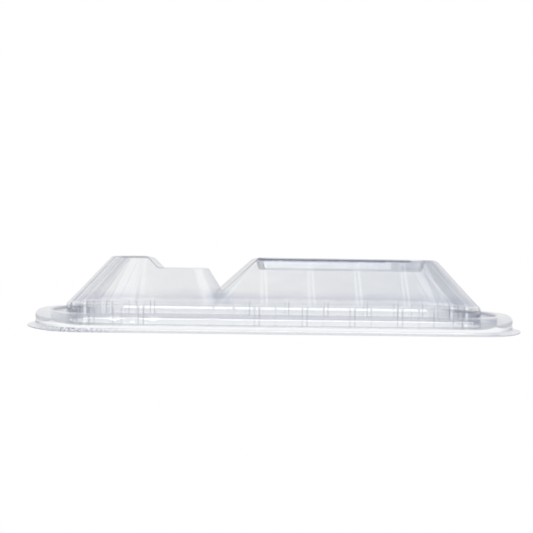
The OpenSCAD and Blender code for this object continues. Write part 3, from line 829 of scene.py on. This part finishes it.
def seam_material():
    """The faces where two pieces of the same sheet meet can't be seen in the real sheet."""
    material = bpy.data.materials.new("inside_the_sheet")
    material.use_nodes = True
    tree = material.node_tree
    tree.nodes.clear()
    through = node(tree, "ShaderNodeBsdfTransparent")
    out = node(tree, "ShaderNodeOutputMaterial")
    tree.links.new(through.outputs["BSDF"], out.inputs["Surface"])
    return material


# All but the ledges and the foot bands take painted shade from the changes passed in; the ledges'
# ramp paints light and the foot bands' ramp paints shade
domes = clear_material("clear_dome", DOME_DIMMING, paint_shade_right)
walls = clear_material("clear_wall", DOME_DIMMING, paint_shade_right, paint_shade_wall_foot, paint_shade_valley)
rims = clear_material("clear_rim", RIM_DIMMING, paint_shade_rim_end)
# The trim's ramp is the rim's made darker all along: painted shade on the same plastic
trim_shaded_dimming = [(at, tuple(np.multiply(colour, TRIM_PAINTED_SHADE))) for at, colour in RIM_DIMMING]
trims = clear_material("clear_trim_torn_and_painted_shade", trim_shaded_dimming, paint_shade_trim_end, grey_torn)
gutters = clear_material("clear_gutter", GUTTER_DIMMING, paint_shade_rim_end, paint_brim_reflection)
ledges = clear_material("clear_ledge_painted_light", LEDGE_PAINTED_LIGHT_DIMMING)
feet = clear_material("clear_foot_painted_shade", FOOT_BAND_PAINTED_SHADE_DIMMING)
folds = clear_material("clear_fold_painted_shade", DOME_DIMMING, paint_shade_fold, paint_shade_right)
seam = seam_material()


# ------------------------------------------------------------------ pieces
def make_piece(name, material, *cad_nodes):
    """A closed solid: the outer and inner faces of one zone, joined round the zone's edge."""
    own = faces[names == name]
    used, index = np.unique(own, return_inverse=True)
    own, n = index.reshape(-1, 4), len(used)
    sides = np.stack([own, np.roll(own, -1, 1)], -1).reshape(-1, 2)
    sides = sides[sides[:, 0] != sides[:, 1]]
    code, back = sides[:, 0] * n + sides[:, 1], sides[:, 1] * n + sides[:, 0]
    edge = sides[~np.isin(code, back)]
    a, b = edge.T
    rim = np.stack([b, a, a + n, b + n], 1)
    on_rim = outer[used][:, 2] <= SHEET_T + 0.01
    free = (on_rim[a] & on_rim[b]) if name == "trim_flange" else np.zeros(len(a), bool)
    quads = np.concatenate([own, own[:, ::-1] + n, rim]).tolist()
    quads = [list(dict.fromkeys(q)) for q in quads]
    kept = np.array([len(q) > 2 for q in quads])
    slots = np.concatenate([np.zeros(2 * len(own), int), np.where(free, 0, 1)])[kept]
    side = np.concatenate([np.zeros(2 * len(own), bool), np.ones(len(rim), bool)])[kept]
    quads = [q for q, k in zip(quads, kept) if k]
    mesh = bpy.data.meshes.new(name)
    places = np.concatenate([outer[used], inner[used]]) * MM
    mesh.from_pydata(places.tolist(), [], quads)
    mesh.materials.append(material)
    mesh.materials.append(seam)
    mesh.polygons.foreach_set("material_index", slots)
    mesh.polygons.foreach_set("use_smooth", np.ones(len(quads), bool))
    corners = np.zeros(len(mesh.loops), int)
    mesh.loops.foreach_get("vertex_index", corners)
    own_normals = np.concatenate([outer_normals[used], inner_normals[used]])[corners]
    flat = np.zeros(len(quads) * 3)
    mesh.polygons.foreach_get("normal", flat)
    totals = np.zeros(len(quads), int)
    mesh.polygons.foreach_get("loop_total", totals)
    flat, is_side = np.repeat(flat.reshape(-1, 3), totals, 0), np.repeat(side, totals)
    own_normals[is_side] = flat[is_side]
    mesh.normals_split_custom_set(own_normals.tolist())
    made = bpy.data.objects.new(name, mesh)
    bpy.context.scene.collection.objects.link(made)
    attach(made, "root")
    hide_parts(*cad_nodes)
    return made


make_piece("trim_flange", trims, "front_flange", "back_flange", "left_flange", "right_flange")
make_piece("snap_skirt", rims, "front_skirt", "back_skirt", "left_skirt", "right_skirt")
make_piece("left_wall", walls, "left_wall", "lower_wall", "valley_saddle")
make_piece("right_wall", walls, "right_wall", "lower_wall", "valley_saddle")
for material, zones in (
    (rims, ("rim_crown",)),
    (gutters, ("inner_rim_wall", "gutter_floor")),
    (feet, ("left_plinth", "right_plinth")),
    (ledges, ("left_ledge", "right_ledge")),
    (domes, ("left_crown", "left_step", "left_shelf", "right_riser", "right_panel")),
    (folds, ("right_stacking_rim",)),
):
    for zone in zones:
        make_piece(zone, material, zone)


# ------------------------------------------------------------------ studio
def studio_floor():
    mesh = bpy.data.meshes.new("floor")
    r = 4.0
    mesh.from_pydata([(-r, -r, 0), (r, -r, 0), (r, r, 0), (-r, r, 0)], [], [(0, 1, 2, 3)])
    floor = bpy.data.objects.new("floor", mesh)
    floor.location.z = -0.0002
    bpy.context.scene.collection.objects.link(floor)
    material = bpy.data.materials.new("white_floor")
    material.use_nodes = True
    tree = material.node_tree
    tree.nodes.remove(tree.nodes["Principled BSDF"])
    # The plastic mirrors a greyer floor than the one that is seen, as it does of the room
    seen = node(tree, "ShaderNodeLightPath")
    mixed = node(tree, "ShaderNodeMix", data_type="RGBA")
    glow = node(tree, "ShaderNodeEmission", Strength=1.0)
    tree.links.new(seen.outputs["Is Camera Ray"], mixed.inputs["Factor"])
    mixed.inputs["A"].default_value = (*FLOOR_GREY, 1)
    mixed.inputs["B"].default_value = (1, 1, 1, 1)
    tree.links.new(mixed.outputs["Result"], glow.inputs["Color"])
    tree.links.new(glow.outputs["Emission"], tree.nodes["Material Output"].inputs["Surface"])
    mesh.materials.append(material)


def studio_light():
    """A white backdrop. What the plastic shows and reflects of the room is greyer: pale round the
    horizon and far up the back, dark overhead."""
    world = bpy.data.worlds.new("studio")
    bpy.context.scene.world = world
    world.use_nodes = True
    tree = world.node_tree
    where = node(tree, "ShaderNodeTexCoord")
    parts = node(tree, "ShaderNodeSeparateXYZ")
    tree.links.new(where.outputs["Generated"], parts.inputs["Vector"])
    x, y, z = (parts.outputs[axis] for axis in "XYZ")
    # The back, as seen from its middle line, stays pale higher up than the front and the sides
    height = math_node(tree, "ABSOLUTE", z)
    lean = math_node(tree, "MULTIPLY", math_node(tree, "MAXIMUM", y, 0.0), BACK_REACH)
    around = math_node(tree, "SUBTRACT", height, lean)
    around = math_node(tree, "ADD", around, math_node(tree, "MULTIPLY", x, RIGHT_DARKER))
    place = math_node(tree, "ADD", math_node(tree, "MULTIPLY", around, 0.5), 0.5)
    stops = [(at, (grey, grey, grey + COOL * (1 - grey))) for at, grey in ROOM]
    room = colour_ramp(tree, place, stops)
    seen = node(tree, "ShaderNodeLightPath")
    mixed = node(tree, "ShaderNodeMix", data_type="RGBA")
    tree.links.new(seen.outputs["Is Camera Ray"], mixed.inputs["Factor"])
    tree.links.new(room, mixed.inputs["A"])
    mixed.inputs["B"].default_value = (1, 1, 1, 1)
    tree.links.new(mixed.outputs["Result"], tree.nodes["Background"].inputs["Color"])
    for name, place, aim, size, power in SOFTBOXES:
        light = bpy.data.lights.new(name, "AREA")
        light.shape, (light.size, light.size_y), light.energy = "RECTANGLE", size, power
        lamp = bpy.data.objects.new(name, light)
        lamp.location = place
        lamp.rotation_euler = (Vector(aim) - Vector(place)).to_track_quat("-Z", "Y").to_euler()
        bpy.context.scene.collection.objects.link(lamp)


def studio_camera():
    data = bpy.data.cameras.new("camera")
    data.lens, data.sensor_width = CAMERA_LENS, 36.0
    data.clip_start, data.clip_end = 0.01, 30.0
    camera = bpy.data.objects.new("camera", data)
    yaw, pitch, roll = (math.radians(a) for a in (CAMERA_YAW, CAMERA_PITCH, CAMERA_ROLL))
    ahead = Vector((math.sin(yaw), math.cos(yaw), 0)) * math.cos(pitch)
    ahead.z = math.sin(pitch)
    level = Vector((math.cos(yaw), -math.sin(yaw), 0))
    above = level.cross(ahead)
    side = level * math.cos(roll) + above * math.sin(roll)
    up = above * math.cos(roll) - level * math.sin(roll)
    turned = Matrix((side, up, -ahead)).transposed().to_4x4()
    camera.matrix_world = Matrix.Translation(Vector(CAMERA_PLACE) * MM) @ turned
    bpy.context.scene.collection.objects.link(camera)
    bpy.context.scene.camera = camera


studio_floor()
studio_light()
studio_camera()
scene = bpy.context.scene
scene.view_settings.view_transform = "Standard"
scene.cycles.max_bounces = 32
scene.cycles.transmission_bounces = 28
scene.cycles.glossy_bounces = 10
scene.cycles.transparent_max_bounces = 64
scene.cycles.use_denoising = True
